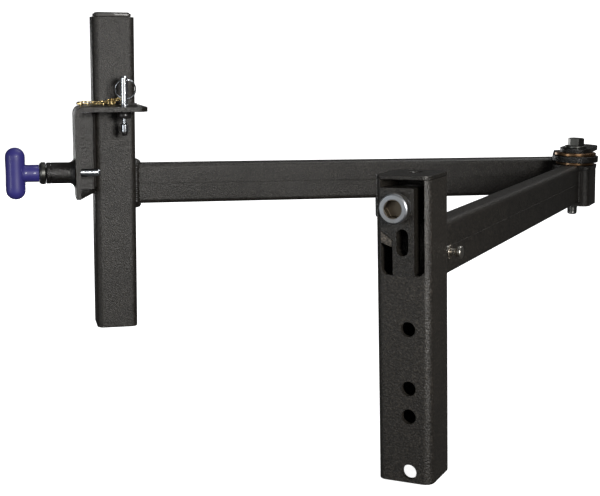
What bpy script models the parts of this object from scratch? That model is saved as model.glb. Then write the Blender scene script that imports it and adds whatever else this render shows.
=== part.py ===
"""Swing-away arm of a hitch carrier, built in metres with +Z up.

A square hitch post carries a base arm. A bolt in the knuckle at the base arm's far end carries the
swing arm and its mast, and a bent bracket on the mast latches round the post. The model's origin
is on the post's front face, at the middle of its pin holes. The vehicle is on the -Y side, and the
arm swings out on the +Y side.

Dimensions are in millimetres, and the helpers turn them into metres. Base parts are placed from
the hinge: X along the base arm, Z up, zero on the pivot bolt at the arm's middle height. Swing
parts are given as if the arm were closed, in the same directions but with Z along the pivot bolt.
"""

import math

import bmesh
import bpy
from mathutils import Vector

MM = 0.001
GAP = 0.3  # between faces that touch

# Square tube of the post, the knuckle and the mast
BOX = 50.8
BOX_WALL = 4.8
BOX_RADIUS = 8.0

# Rectangular tube of the two arms
ARM_HEIGHT = 50.8
ARM_DEPTH = 25.4
ARM_WALL = 3.2
ARM_RADIUS = 6.0

# Hinge
ARM_LENGTH = 610.0  # pivot bolt to the middle of the post, and of the mast
HINGE_TILT = 2.5  # degrees, so that the arm rises as it opens
OPEN_ANGLE = 49.08  # degrees from closed
MOUNT_HEIGHT = 126.0  # from the model's origin up to the arm's middle

# Post
POST_X = -ARM_LENGTH
POST_FACE = POST_X - BOX / 2  # the side with the window
POST_BOTTOM = -198.0
POST_TOP = 71.4
TOP_PLATE = 3.5
WINDOW_REAR = 19.5
WINDOW_FRONT = -20.4
WINDOW_SILL = -11.2
WINDOW_CHAMFER = 4.0
PIN_HOLE = 13.5
PIN_HOLE_Y = -4.8
PIN_HOLE_HEIGHTS = (-58.5, -111.8, -137.2, -188.0)
LATCH_HOLE = 13.0

# Striker block in the window, and its clamp bolt
STRIKER_PROUD = 2.0
STRIKER_THICK = 14.4
STRIKER_TOP = 64.8
STRIKER_FRONT = -11.8
TONGUE = 8.0
SLANT_LOW = 19.9
SLANT_HIGH = 28.2
SLOT_WIDTH = 11.0
SLOT_HEIGHT = 23.4
SLOT_Y = -1.0
SLOT_Z = 17.7
CLAMP_Y = 3.0
CLAMP_Z = 48.0
CLAMP_THREAD = 18.0
CLAMP_HEAD = 26.4
CLAMP_HEAD_HEIGHT = 8.6
CLAMP_SOCKET = 14.0
STRIKER_FACE = POST_FACE - STRIKER_PROUD
STRIKER_BACK = STRIKER_FACE + STRIKER_THICK
NUT_FRONT = STRIKER_BACK + GAP
NUT_BACK = NUT_FRONT + 20.0
NUT_SIDE = -11.0
TAB_LOW = 37.0
TAB_HIGH = 54.7
TAB_PROUD = 4.2

# Knuckle and pivot, from the bottom up along the bolt
KNUCKLE_BOTTOM = -29.0
KNUCKLE_TOP = 25.0
KNUCKLE_PLATE = 5.0
PIVOT_BOLT = 12.7
SLEEVE = 19.0
NUT_LOW = KNUCKLE_BOTTOM + KNUCKLE_PLATE + 1.0
NUT_HIGH = NUT_LOW + 11.0
HEAD_FLATS = 19.05
LOWER_WASHER_Z = (25.3, 28.7)
HINGE_PLATE_Z = (29.0, 37.0)
UPPER_WASHER_Z = (37.3, 41.2)
KEEPER_Z = (41.5, 47.0)
PIVOT_WASHER_Z = (47.3, 50.0)
BOLT_HEAD_Z = (50.3, 60.0)
BOLT_END = -42.5
HINGE_PLATE_RADIUS = 30.0
HINGE_PLATE_INNER = 4.0  # where the plate's rear edge starts, along the arm
UPPER_WASHER_RADIUS = 27.0
KEEPER_RADIUS = 20.5
KEEPER_LOBE = 44.0  # from the pivot out to the middle of the keeper's other end
KEEPER_LOBE_RADIUS = 19.5

# Swing arm and mast
SWING_OFFSET = 58.0  # how far behind the pivot the arm's middle runs
SWING_HEIGHT = 3.0
SWING_END = 29.0
MAST_FRONT = SWING_OFFSET - BOX / 2
MAST_TOP = 209.0
MAST_BOTTOM = -178.5
MAST_CAP = 3.8

# Latch bracket: a flange over the post and a leg down its side
PLATE = 5.7
FLANGE_TOP = 103.7
LEG_OUT = -662.0
LEG_LOW = -5.6
LEG_BACK = 27.0
BRACKET_FRONT = -26.0
FLANGE_REACH = -574.0
BRACKET_BACK = 57.0
BEND_RADIUS = 10.0
WEB_FRONT = 24.0
WEB_LOW = 0.1

# Spring plunger, along X at this height
PLUNGER_Z = 24.0
PLUNGER_PIN = 9.5
PLUNGER_TIP = -632.0
HOUSING = 25.6
FLARE = 33.6
HOUSING_END = -690.0
GLAND_END = -695.6
SPRING_COIL = 14.0
SPRING_WIRE = 1.6
SPRING_TURNS = 6
SEAT = 15.4
SEAT_X = -669.0
SEAT_THICK = 2.5

# T-handle
PIN_END = -716.0
COLLAR_X = (-696.1, -703.6)
STEM_X = (-703.9, -719.4)
COLLAR = 26.6
STEM = 20.6
HANDLE = 23.2
HANDLE_LENGTH = 62.0

# Lock pin, its ring and its chain
LOCK_X = -601.4
LOCK_Y = 3.0
LOCK_TOP = 139.6
LOCK_SHANK = 8.9
LOCK_HOLE = 10.2
LOCK_HOLE_Z = 134.0
RING_WIRE = 2.1
RING_HOLE = 5.2
RING_MEAN = 12.3  # radius of the wire's middle
RING_LEAN = 17.0  # degrees that the hanging ring leans back past the pin
RING_SWAY = 9.0  # degrees that it hangs to one side
RING_LIFT = 0.9  # how far the ring's wire sits above the cross hole's middle
CHAIN_WIDTH = 4.4
# From the anchor to the ring: along X, along Y, and above the flange
CHAIN_ROUTE = (
    (-647.5, 22.0, 2.9),
    (-641.0, 23.0, 2.6),
    (-633.0, 21.5, 2.6),
    (-625.5, 23.0, 2.6),
    (-620.0, 22.0, 3.9),
    (-614.5, 22.5, 5.3),
    (-611.0, 18.0, 3.9),
    (-614.0, 13.0, 2.6),
    (-619.0, 13.5, 2.6),
    (-620.5, 18.0, 3.3),
)


def new_collection(name):
    collection = bpy.data.collections.new(name)
    bpy.context.scene.collection.children.link(collection)
    return collection


for old in list(bpy.data.objects):
    bpy.data.objects.remove(old)
PARTS = new_collection("hitch_swing_arm")
CUTTERS = new_collection("cutters")


def material(name, color, roughness, metallic):
    made = bpy.data.materials.new(name)
    made.use_nodes = True
    shader = made.node_tree.nodes["Principled BSDF"]
    shader.inputs["Base Color"].default_value = (*color, 1.0)
    shader.inputs["Roughness"].default_value = roughness
    shader.inputs["Metallic"].default_value = metallic
    return made


POWDER = ("powder_black", (0.055, 0.052, 0.047), 0.45, 0.0)
ZINC = ("zinc", (0.62, 0.64, 0.66), 0.3, 1.0)
BRONZE = ("bronze", (0.42, 0.26, 0.13), 0.35, 1.0)
BRASS = ("brass", (0.62, 0.45, 0.16), 0.3, 1.0)
GRIP = ("grip_plastic", (0.09, 0.085, 0.16), 0.4, 0.0)
BLACK = ("black_plastic", (0.02, 0.02, 0.02), 0.5, 0.0)
CAP_GREY = ("cap_plastic", (0.2, 0.2, 0.19), 0.4, 0.0)


def empty(name, parent, place=(0, 0, 0), turn=(0, 0, 0)):
    """A joint's or a group's frame. place is in millimetres and turn in degrees."""
    made = bpy.data.objects.new(name, None)
    PARTS.objects.link(made)
    made.parent = parent
    made.location = Vector(place) * MM
    made.rotation_euler = [math.radians(angle) for angle in turn]
    return made


def finish(made, look, parent, place, turn):
    """Puts an object into the assembly, with its own material."""
    made.parent = parent
    made.location = Vector(place) * MM
    made.rotation_euler = [math.radians(angle) for angle in turn]
    made.data.materials.clear()
    made.data.materials.append(material(made.name + "_" + look[0], *look[1:]))
    return made


def fillet(corners, steps=4):
    """The outline through corners (x, y, radius), each rounded by an arc where its radius isn't 0."""
    points = []
    for index, (x, y, radius) in enumerate(corners):
        here = Vector((x, y))
        if not radius:
            points.append(here)
            continue
        before = (Vector(corners[index - 1][:2]) - here).normalized()
        after = (Vector(corners[(index + 1) % len(corners)][:2]) - here).normalized()
        half = before.angle(after) / 2
        centre = here + (before + after).normalized() * (radius / math.sin(half))
        first = here + before * (radius / math.tan(half)) - centre
        last = here + after * (radius / math.tan(half)) - centre
        sweep = first.angle_signed(last)
        for step in range(steps + 1):
            turned_by = -sweep * step / steps
            sine, cosine = math.sin(turned_by), math.cos(turned_by)
            spoke = Vector((first.x * cosine - first.y * sine, first.x * sine + first.y * cosine))
            points.append(centre + spoke)
    return points


def rectangle(width, height, radius=0.0, steps=4):
    x, y = width / 2, height / 2
    return fillet([(x, -y, radius), (x, y, radius), (-x, y, radius), (-x, -y, radius)], steps)


def circle(radius, centre=(0, 0), steps=24):
    x, y = centre
    turns = [2 * math.pi * step / steps for step in range(steps)]
    return [Vector((x + radius * math.cos(a), y + radius * math.sin(a))) for a in turns]


def arc(radius, centre, first, last, steps):
    """Points along an arc, its ends included. Angles are in radians."""
    turns = [first + (last - first) * step / steps for step in range(steps + 1)]
    return [Vector(centre) + Vector((math.cos(turn), math.sin(turn))) * radius for turn in turns]


def hexagon(across_flats):
    return circle(across_flats / math.sqrt(3), steps=6)


# Which way an outline's own X, Y and normal point, as a turn in degrees
NORMALS = {"X": (90, 0, 90), "Y": (90, 0, 0), "Z": (0, 0, 0)}
# Which way a turned shape's own Z points
AXES = {"Z": (0, 0, 0), "X": (0, 90, 0), "-X": (0, -90, 0), "Y": (-90, 0, 0), "-Y": (90, 0, 0)}


def as_mesh(curve):
    """The mesh object that a curve object makes, in the curve's place."""
    graph = bpy.context.evaluated_depsgraph_get()
    mesh = bpy.data.meshes.new_from_object(curve.evaluated_get(graph))
    shape = bmesh.new()
    shape.from_mesh(mesh)
    bmesh.ops.remove_doubles(shape, verts=shape.verts, dist=1e-6)
    bmesh.ops.recalc_face_normals(shape, faces=shape.faces)
    shape.to_mesh(mesh)
    shape.free()
    name = curve.name
    bpy.data.objects.remove(curve)
    made = bpy.data.objects.new(name, mesh)
    PARTS.objects.link(made)
    return made


def plate(name, loops, low, high, normal, look, parent, centre=(0, 0)):
    """Outlines extruded between two heights along their normal. Loops inside the first are holes."""
    data = bpy.data.curves.new(name, "CURVE")
    data.dimensions = "2D"
    data.fill_mode = "BOTH"
    data.extrude = (high - low) / 2 * MM
    for loop in loops:
        spline = data.splines.new("POLY")
        spline.points.add(len(loop) - 1)
        spline.use_cyclic_u = True
        for point, spot in zip(spline.points, loop):
            point.co = (spot.x * MM, spot.y * MM, 0, 1)
    made = bpy.data.objects.new(name, data)
    PARTS.objects.link(made)
    made = as_mesh(made)
    middle = (low + high) / 2
    along, across = centre
    places = {"X": (middle, along, across), "Y": (along, middle, across), "Z": (along, across, middle)}
    return finish(made, look, parent, places[normal], NORMALS[normal])


def turned(name, profile, look, parent, place=(0, 0, 0), axis="Z", steps=24):
    """A solid of revolution. The profile is (radius, height) from the top down its outer side."""
    mesh = bpy.data.meshes.new(name)
    shape = bmesh.new()
    spots = [shape.verts.new((radius * MM, 0, height * MM)) for radius, height in profile]
    for first, second in zip(spots, spots[1:]):
        shape.edges.new((first, second))
    if profile[0][0] or profile[-1][0]:
        shape.edges.new((spots[-1], spots[0]))
    shape.to_mesh(mesh)
    shape.free()
    made = bpy.data.objects.new(name, mesh)
    PARTS.objects.link(made)
    screw = made.modifiers.new("turn", "SCREW")
    screw.steps = screw.render_steps = steps
    screw.use_merge_vertices = True
    screw.merge_threshold = 0.00001
    screw.use_smooth_shade = True
    return finish(made, look, parent, place, AXES[axis])


def washer(name, outer, inner, low, high, look, parent, place=(0, 0, 0), axis="Z", steps=24, edge=0.4):
    """A ring between two heights, its outer edges chamfered."""
    profile = [
        (outer - edge, high),
        (outer, high - edge),
        (outer, low + edge),
        (outer - edge, low),
        (inner, low),
        (inner, high),
    ]
    return turned(name, profile, look, parent, place, axis, steps)


def boolean(target, other, operation):
    """Cuts other from target, or joins it on. other is kept as a guide outside the model."""
    change = target.modifiers.new(operation.lower(), "BOOLEAN")
    change.operation = operation
    change.solver = "EXACT"
    change.object = other
    PARTS.objects.unlink(other)
    CUTTERS.objects.link(other)
    other.hide_render = True
    other.display_type = "WIRE"


def cut(target, other):
    boolean(target, other, "DIFFERENCE")


def join(target, other):
    boolean(target, other, "UNION")


def rod(name, diameter, start, end, look, parent, place=(0, 0, 0), axis="Z", steps=24):
    """A plain cylinder between two heights along its axis."""
    radius = diameter / 2
    profile = [(0, end), (radius, end), (radius, start), (0, start)]
    return turned(name, profile, look, parent, place, axis, steps)


def tube(name, width, height, wall, radius, low, high, normal, parent, centre=(0, 0)):
    """A square or rectangular steel tube with rounded corners."""
    inner = max(radius - wall, 1.0)
    loops = [
        rectangle(width, height, radius),
        rectangle(width - 2 * wall, height - 2 * wall, inner),
    ]
    return plate(name, loops, low, high, normal, POWDER, parent, centre)


# Frames: the pivot, the leaning hinge axis and the moving groups

PIVOT = empty("pivot", None, (ARM_LENGTH, BOX / 2, MOUNT_HEIGHT))
HINGE = empty("hinge_axis", PIVOT, turn=(HINGE_TILT, 0, 0))
SWING = empty("swing_group", HINGE, turn=(0, 0, -OPEN_ANGLE))
PLUNGER = empty("plunger_group", SWING, (0, 0, PLUNGER_Z))
LOCK = empty("lock_pin_group", SWING, (LOCK_X, LOCK_Y, 0))
RING = empty("ring_pivot", LOCK, (0, 0, LOCK_HOLE_Z), (RING_LEAN, 0, 0))


def hitch_post():
    post = tube(
        "hitch_post", BOX, BOX, BOX_WALL, BOX_RADIUS, POST_BOTTOM, POST_TOP, "Z", PIVOT, (POST_X, 0)
    )
    overrun = 10.0
    sill = fillet(
        [
            (WINDOW_REAR, POST_TOP + overrun, 0),
            (WINDOW_FRONT, POST_TOP + overrun, 0),
            (WINDOW_FRONT, WINDOW_SILL + WINDOW_CHAMFER, 0),
            (WINDOW_FRONT + WINDOW_CHAMFER, WINDOW_SILL, 0),
            (WINDOW_REAR - WINDOW_CHAMFER, WINDOW_SILL, 0),
            (WINDOW_REAR, WINDOW_SILL + WINDOW_CHAMFER, 0),
        ]
    )
    window_depth = 12.0
    cut(
        post,
        plate("cut_window", [sill], POST_FACE - overrun, POST_FACE + window_depth, "X", POWDER, PIVOT),
    )
    for height in PIN_HOLE_HEIGHTS:
        middle = (POST_X, PIN_HOLE_Y, height)
        hole = rod("cut_pin_hole", PIN_HOLE, -BOX, BOX, POWDER, PIVOT, middle, "X", steps=20)
        cut(post, hole)
    tab_slot = rectangle(NUT_BACK - NUT_FRONT + 2, TAB_HIGH - TAB_LOW + 2, 1.5)
    cut(
        post,
        plate(
            "cut_tab_slot",
            [tab_slot],
            BOX / 2 - window_depth,
            BOX / 2 + overrun,
            "Y",
            POWDER,
            PIVOT,
            ((NUT_BACK + NUT_FRONT) / 2, (TAB_LOW + TAB_HIGH) / 2),
        ),
    )


def post_top_plate():
    loops = [rectangle(BOX, BOX, BOX_RADIUS), circle(LATCH_HOLE / 2, (LOCK_X - POST_X, 0))]
    low = POST_TOP + GAP
    plate("post_top_plate", loops, low, low + TOP_PLATE, "Z", POWDER, PIVOT, (POST_X, 0))


def striker_block():
    back_edge = WINDOW_REAR - GAP
    outline = fillet(
        [
            (STRIKER_FRONT, STRIKER_TOP, 1),
            (STRIKER_FRONT, WINDOW_SILL + GAP, 1),
            (TONGUE, WINDOW_SILL + GAP, 1),
            (TONGUE, SLANT_LOW, 0),
            (back_edge, SLANT_HIGH, 0),
            (back_edge, STRIKER_TOP, 1),
        ],
        steps=2,
    )
    round_end = SLOT_WIDTH / 2 - 0.01
    slot_middle = Vector((SLOT_Y, SLOT_Z))
    slot = [point + slot_middle for point in rectangle(SLOT_WIDTH, SLOT_HEIGHT, round_end, 6)]
    bolt_hole = circle(CLAMP_THREAD / 2 + GAP, (CLAMP_Y, CLAMP_Z))
    loops = [outline, slot, bolt_hole]
    plate("striker_block", loops, STRIKER_FACE, STRIKER_BACK, "X", POWDER, PIVOT)


def striker_ramp():
    """A wedge beside the striker's tongue that lifts the plunger pin as the arm closes."""
    inner, outer = TONGUE + GAP, WINDOW_REAR - GAP
    below = 0.9
    outline = fillet(
        [
            (inner, SLANT_LOW - below, 0),
            (inner, SLANT_LOW - 6.8, 0),
            (outer, SLANT_HIGH - 11.2, 0),
            (outer, SLANT_HIGH - below, 0),
        ]
    )
    ramp = plate("striker_ramp", [outline], STRIKER_FACE + 1, STRIKER_BACK - 2, "X", POWDER, PIVOT)
    slope = 35.0
    cutter = plate("cut_ramp", [rectangle(30, 30)], -15, 15, "Z", POWDER, PIVOT)
    cutter.location = Vector((STRIKER_FACE - 12.5, outer + 9.0, 20.0)) * MM
    cutter.rotation_euler = (0, 0, math.radians(slope))
    cut(ramp, cutter)


def clamp_bolt():
    """A socket head screw through the striker into its nut block, with its head outside."""
    head_low = 0.6 + 2.0
    head_high = head_low + CLAMP_HEAD_HEIGHT
    radius = CLAMP_HEAD / 2
    shank_end = STRIKER_FACE - NUT_BACK - 2.0
    profile = [
        (0, head_high),
        (radius - 1.2, head_high),
        (radius, head_high - 1.2),
        (radius, head_low),
        (CLAMP_THREAD / 2, head_low),
        (CLAMP_THREAD / 2, shank_end + 1.5),
        (CLAMP_THREAD / 2 - 1.5, shank_end),
        (0, shank_end),
    ]
    place = (STRIKER_FACE, CLAMP_Y, CLAMP_Z)
    bolt = turned("clamp_bolt", profile, ZINC, PIVOT, place, "-X", steps=32)
    socket_depth = 7.0
    socket = plate(
        "cut_socket",
        [hexagon(CLAMP_SOCKET)],
        STRIKER_FACE - head_high - 5,
        STRIKER_FACE - head_high + socket_depth,
        "X",
        ZINC,
        PIVOT,
        (CLAMP_Y, CLAMP_Z),
    )
    cut(bolt, socket)
    outer, inner = CLAMP_HEAD / 2 - 0.2, CLAMP_THREAD / 2 + GAP
    washer("clamp_washer", outer, inner, GAP, 2.3, ZINC, PIVOT, place, "-X", steps=32)


def clamp_nut_block():
    """The clamp bolt's nut. Its tab reaches through the post's rear wall, so that it can't turn."""
    tab_end = BOX / 2 + TAB_PROUD
    inside, low, high = 20.0, 32.0, 64.0
    outline = fillet(
        [
            (NUT_SIDE, low, 1.5),
            (inside, low, 1.5),
            (inside, TAB_LOW, 0),
            (tab_end, TAB_LOW, 1.5),
            (tab_end, TAB_HIGH, 1.5),
            (inside, TAB_HIGH, 0),
            (inside, high, 1.5),
            (NUT_SIDE, high, 1.5),
        ],
        steps=2,
    )
    thread = circle(CLAMP_THREAD / 2 + GAP, (CLAMP_Y, CLAMP_Z))
    plate("clamp_nut_block", [outline, thread], NUT_FRONT, NUT_BACK, "X", POWDER, PIVOT)


def base_arm():
    start = POST_X + BOX / 2 + GAP
    end = -BOX / 2 - GAP
    tube(
        "base_arm", ARM_DEPTH, ARM_HEIGHT, ARM_WALL, ARM_RADIUS, start, end, "X", PIVOT
    )


def lanyard_stud():
    """A turned spool on the base arm's front face, with a loose washer behind its end flange."""
    place = (-574.0, -ARM_DEPTH / 2 - GAP, 0.8)
    collar, neck, flange, end = 8.8, 14.6, 17.2, 20.6
    profile = [
        (0, end),
        (5.0, end),
        (5.8, end - 0.8),
        (5.8, flange),
        (3.2, neck),
        (3.2, collar),
        (4.9, collar),
        (5.7, collar - 0.8),
        (5.7, 0),
        (0, 0),
    ]
    turned("lanyard_stud", profile, ZINC, PIVOT, place, "-Y", steps=20)
    low, high = collar + GAP, collar + 1.6
    washer("lanyard_stud_washer", 6.6, 3.6, low, high, ZINC, PIVOT, place, "-Y", steps=20)


def knuckle():
    """The upright tube at the base arm's end that holds the pivot bolt."""
    body = tube("hinge_knuckle", BOX, BOX, BOX_WALL, BOX_RADIUS, KNUCKLE_BOTTOM, KNUCKLE_TOP, "Z", PIVOT)
    mitre_low = KNUCKLE_TOP - KNUCKLE_PLATE - GAP
    mitre = [rectangle(2 * BOX, 2 * BOX)]
    cut(body, plate("cut_mitre", mitre, mitre_low, mitre_low + BOX, "Z", POWDER, HINGE))
    bush_hole = circle(SLEEVE / 2 + GAP)
    plate(
        "knuckle_top_plate",
        [rectangle(BOX, BOX, BOX_RADIUS), bush_hole],
        KNUCKLE_TOP - KNUCKLE_PLATE,
        KNUCKLE_TOP,
        "Z",
        POWDER,
        HINGE,
    )
    inset = BOX - 2 * BOX_WALL - 2 * GAP
    plate(
        "knuckle_bottom_plate",
        [rectangle(inset, inset, 3.0), circle(PIVOT_BOLT / 2 + 0.8, (0, 1.1))],
        KNUCKLE_BOTTOM + GAP,
        KNUCKLE_BOTTOM + GAP + KNUCKLE_PLATE,
        "Z",
        POWDER,
        PIVOT,
    )


def pivot_stack():
    """Everything on the pivot bolt that belongs to the knuckle."""
    bore = PIVOT_BOLT / 2 + 0.3
    washer("bearing_sleeve", SLEEVE / 2, bore, NUT_HIGH + GAP, KNUCKLE_TOP - 0.1, BRONZE, HINGE, edge=0.2)
    washer("lower_thrust_washer", 25.0, bore, *LOWER_WASHER_Z, BRONZE, HINGE, steps=32)
    washer("pivot_washer", 14.5, bore, *PIVOT_WASHER_Z, ZINC, HINGE)
    plate("pivot_nut", [hexagon(HEAD_FLATS), circle(bore)], NUT_LOW, NUT_HIGH, "Z", ZINC, HINGE)

    lean = math.asin((KEEPER_RADIUS - KEEPER_LOBE_RADIUS) / KEEPER_LOBE)
    outline = arc(KEEPER_RADIUS, (0, 0), math.pi / 2 - lean, 1.5 * math.pi + lean, 16)
    outline += arc(KEEPER_LOBE_RADIUS, (KEEPER_LOBE, 0), -math.pi / 2 + lean, math.pi / 2 - lean, 10)
    plate("keeper_plate", [outline, circle(bore)], *KEEPER_Z, "Z", POWDER, HINGE)

    across = [Vector((point.y, point.x)) for point in reversed(hexagon(HEAD_FLATS))]
    head = plate("pivot_bolt", [across], *BOLT_HEAD_Z, "Z", ZINC, HINGE)
    shank = turned(
        "join_shank",
        [
            (0, BOLT_HEAD_Z[0] + 2),
            (PIVOT_BOLT / 2, BOLT_HEAD_Z[0] + 2),
            (PIVOT_BOLT / 2, BOLT_END + 1.5),
            (PIVOT_BOLT / 2 - 1.5, BOLT_END),
            (0, BOLT_END),
        ],
        ZINC,
        HINGE,
    )
    join(head, shank)


def swing_arm():
    start = POST_X + BOX / 2 + GAP
    centre = (SWING_OFFSET, SWING_HEIGHT)
    tube(
        "swing_arm", ARM_DEPTH, ARM_HEIGHT, ARM_WALL, ARM_RADIUS, start, SWING_END, "X", SWING, centre
    )
    inset = 2 * ARM_WALL + 2 * GAP
    plug = rectangle(ARM_DEPTH - inset, ARM_HEIGHT - inset, ARM_RADIUS - ARM_WALL)
    plate("swing_arm_end_cap", [plug], SWING_END - 4, SWING_END - 0.5, "X", POWDER, SWING, centre)


def hinge_plate():
    """The plate welded on the swing arm that turns between the two thrust washers."""
    rear = SWING_OFFSET + ARM_DEPTH / 2 - 0.5
    corner = math.hypot(HINGE_PLATE_INNER, rear)
    tangent = math.atan2(rear, HINGE_PLATE_INNER) + math.acos(HINGE_PLATE_RADIUS / corner)
    outline = arc(HINGE_PLATE_RADIUS, (0, 0), tangent, 2 * math.pi, 20)
    outline += [Vector((HINGE_PLATE_RADIUS, rear)), Vector((HINGE_PLATE_INNER, rear))]
    plate("hinge_plate", [outline, circle(9.3)], *HINGE_PLATE_Z, "Z", POWDER, SWING)
    washer("pivot_bushing", 9.0, PIVOT_BOLT / 2 + 0.3, *HINGE_PLATE_Z, BRONZE, SWING, edge=0.2)
    upper_bore = PIVOT_BOLT / 2 + GAP
    washer("upper_thrust_washer", UPPER_WASHER_RADIUS, upper_bore, *UPPER_WASHER_Z, BRONZE, SWING, steps=32)


def mast():
    centre = (POST_X, SWING_OFFSET)
    tube("mast", BOX, BOX, BOX_WALL, BOX_RADIUS, MAST_BOTTOM, MAST_TOP, "Z", SWING, centre)
    inset = 3.5
    brim = rectangle(BOX - 2 * inset, BOX - 2 * inset, BOX_RADIUS - inset)
    cap = plate(
        "mast_cap", [brim], MAST_TOP + GAP, MAST_TOP + GAP + MAST_CAP, "Z", CAP_GREY, SWING, centre
    )
    plug_side = BOX - 2 * BOX_WALL - 2 * GAP
    square = rectangle(plug_side, plug_side, 3.0)
    plug = plate("join_cap_plug", [square], MAST_TOP - 10, MAST_TOP + 2, "Z", CAP_GREY, SWING, centre)
    join(cap, plug)


def latch_bracket():
    """One bent plate: a flange that reaches over the post and a leg that comes down beside it."""
    outline = fillet(
        [
            (FLANGE_REACH, FLANGE_TOP, 0),
            (LEG_OUT, FLANGE_TOP, BEND_RADIUS),
            (LEG_OUT, LEG_LOW, 0),
            (LEG_OUT + PLATE, LEG_LOW, 0),
            (LEG_OUT + PLATE, FLANGE_TOP - PLATE, BEND_RADIUS - PLATE),
            (FLANGE_REACH, FLANGE_TOP - PLATE, 0),
        ]
    )
    bracket = plate("latch_bracket", [outline], BRACKET_FRONT, BRACKET_BACK, "Y", POWDER, SWING)
    overrun = 20.0
    flange_span = (FLANGE_TOP - PLATE - overrun, FLANGE_TOP + overrun)
    mast_side = POST_X - BOX / 2 - GAP
    mast_face = MAST_FRONT - GAP
    beyond = 2 * BRACKET_BACK
    notch = [(mast_side, mast_face), (0, mast_face), (0, beyond), (mast_side, beyond)]
    end = [
        (FLANGE_REACH - 9.7, BRACKET_FRONT - 0.01),
        (FLANGE_REACH - 9.7, -2 * BRACKET_BACK),
        (0, -2 * BRACKET_BACK),
        (0, 2 * BRACKET_BACK),
        (FLANGE_REACH - 6.5, 2 * BRACKET_BACK),
        (FLANGE_REACH - 6.5, mast_face),
        (FLANGE_REACH - 2.0, BRACKET_FRONT + 8.0),
    ]
    for name, corners in (("cut_mast_notch", notch), ("cut_flange_end", end)):
        loop = [Vector(corner) for corner in corners]
        cut(bracket, plate(name, [loop], *flange_span, "Z", POWDER, SWING))
    shoulder_x = LEG_OUT + BEND_RADIUS + 6.0
    shoulder = [
        Vector((LEG_OUT - overrun, LEG_BACK)),
        Vector((LEG_OUT + BEND_RADIUS, LEG_BACK)),
        Vector((shoulder_x, BRACKET_BACK + 0.01)),
        Vector((shoulder_x, BRACKET_BACK + overrun)),
        Vector((LEG_OUT - overrun, BRACKET_BACK + overrun)),
    ]
    leg_span = (LEG_LOW - overrun, FLANGE_TOP + overrun)
    cut(bracket, plate("cut_leg_back", [shoulder], *leg_span, "Z", POWDER, SWING))
    toe = [
        Vector((LEG_BACK + 1, 9.0)),
        Vector((LEG_BACK + 1, -overrun)),
        Vector((-2.0, -overrun)),
        Vector((-2.0, LEG_LOW)),
    ]
    cut(bracket, plate("cut_toe", [toe], LEG_OUT - overrun, LEG_OUT + overrun, "X", POWDER, SWING))
    over = (LOCK_X, LOCK_Y, FLANGE_TOP)
    cut(bracket, rod("cut_lock_hole", LOCK_HOLE, -overrun, overrun, POWDER, SWING, over))
    clear = PLUNGER_PIN + 2 * GAP
    beside = (LEG_OUT, 0, PLUNGER_Z)
    cut(bracket, rod("cut_plunger_hole", clear, -overrun, overrun, POWDER, SWING, beside, "X"))


def bracket_braces():
    """The bar beside the mast that backs the leg, and the shelf below the plunger."""
    left, right = LEG_OUT + PLATE + GAP, POST_X - BOX / 2 - GAP
    bar = rectangle(right - left, BRACKET_BACK - WEB_FRONT, 3.0)
    span = (WEB_LOW, FLANGE_TOP - BEND_RADIUS - GAP)
    middle = ((left + right) / 2, (WEB_FRONT + BRACKET_BACK) / 2)
    plate("bracket_web", [bar], *span, "Z", POWDER, SWING, middle)
    shelf = [
        Vector((left, BRACKET_FRONT)),
        Vector((right, MAST_FRONT + 1.0)),
        Vector((right, BRACKET_BACK)),
        Vector((left, WEB_FRONT)),
    ]
    plate("bracket_shelf", [shelf], LEG_LOW + GAP, LEG_LOW + GAP + 5.0, "Z", POWDER, SWING)


def plunger_housing():
    """The barrel welded on the leg. Its far end is closed by a gland that the spring pushes on."""
    face = LEG_OUT - GAP
    bore = PLUNGER_PIN / 2 + GAP
    radius = HOUSING / 2
    spring_bore = 8.4
    floor = 5.0
    flare_length = 6.0
    length = face - HOUSING_END
    profile = [
        (radius, length),
        (radius, flare_length),
        (radius + 1.0, 3.2),
        (FLARE / 2, 0.6),
        (FLARE / 2, 0),
        (bore, 0),
        (bore, floor),
        (spring_bore, floor),
        (spring_bore, length),
    ]
    turned("plunger_housing", profile, POWDER, PLUNGER, (face, 0, 0), "-X", steps=32)
    gland = [
        (radius - 1.0, -GLAND_END),
        (radius, -GLAND_END - 1.0),
        (radius, -HOUSING_END + GAP),
        (spring_bore - GAP, -HOUSING_END + GAP),
        (spring_bore - GAP, -HOUSING_END - 3.0),
        (bore, -HOUSING_END - 3.0),
        (bore, -GLAND_END),
    ]
    turned("housing_gland", gland, POWDER, PLUNGER, (0, 0, 0), "-X", steps=32)


def plunger_spring():
    """A compression spring round the plunger pin, between its seat and the gland."""
    start = SEAT_X - SEAT_THICK - SPRING_WIRE / 2 - GAP
    end = HOUSING_END + 3.0 + SPRING_WIRE / 2 + GAP
    steps_per_turn = 12
    count = SPRING_TURNS * steps_per_turn
    radius = (SPRING_COIL - SPRING_WIRE) / 2
    data = bpy.data.curves.new("plunger_spring", "CURVE")
    data.dimensions = "3D"
    data.bevel_depth = SPRING_WIRE / 2 * MM
    data.bevel_resolution = 1
    data.use_fill_caps = True
    spline = data.splines.new("POLY")
    spline.points.add(count)
    for step, point in enumerate(spline.points):
        turn = 2 * math.pi * step / steps_per_turn
        along = start + (end - start) * step / count
        point.co = (along * MM, radius * math.cos(turn) * MM, radius * math.sin(turn) * MM, 1)
    made = bpy.data.objects.new("plunger_spring", data)
    PARTS.objects.link(made)
    finish(made, ZINC, PLUNGER, (0, 0, 0), (0, 0, 0))


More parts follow.
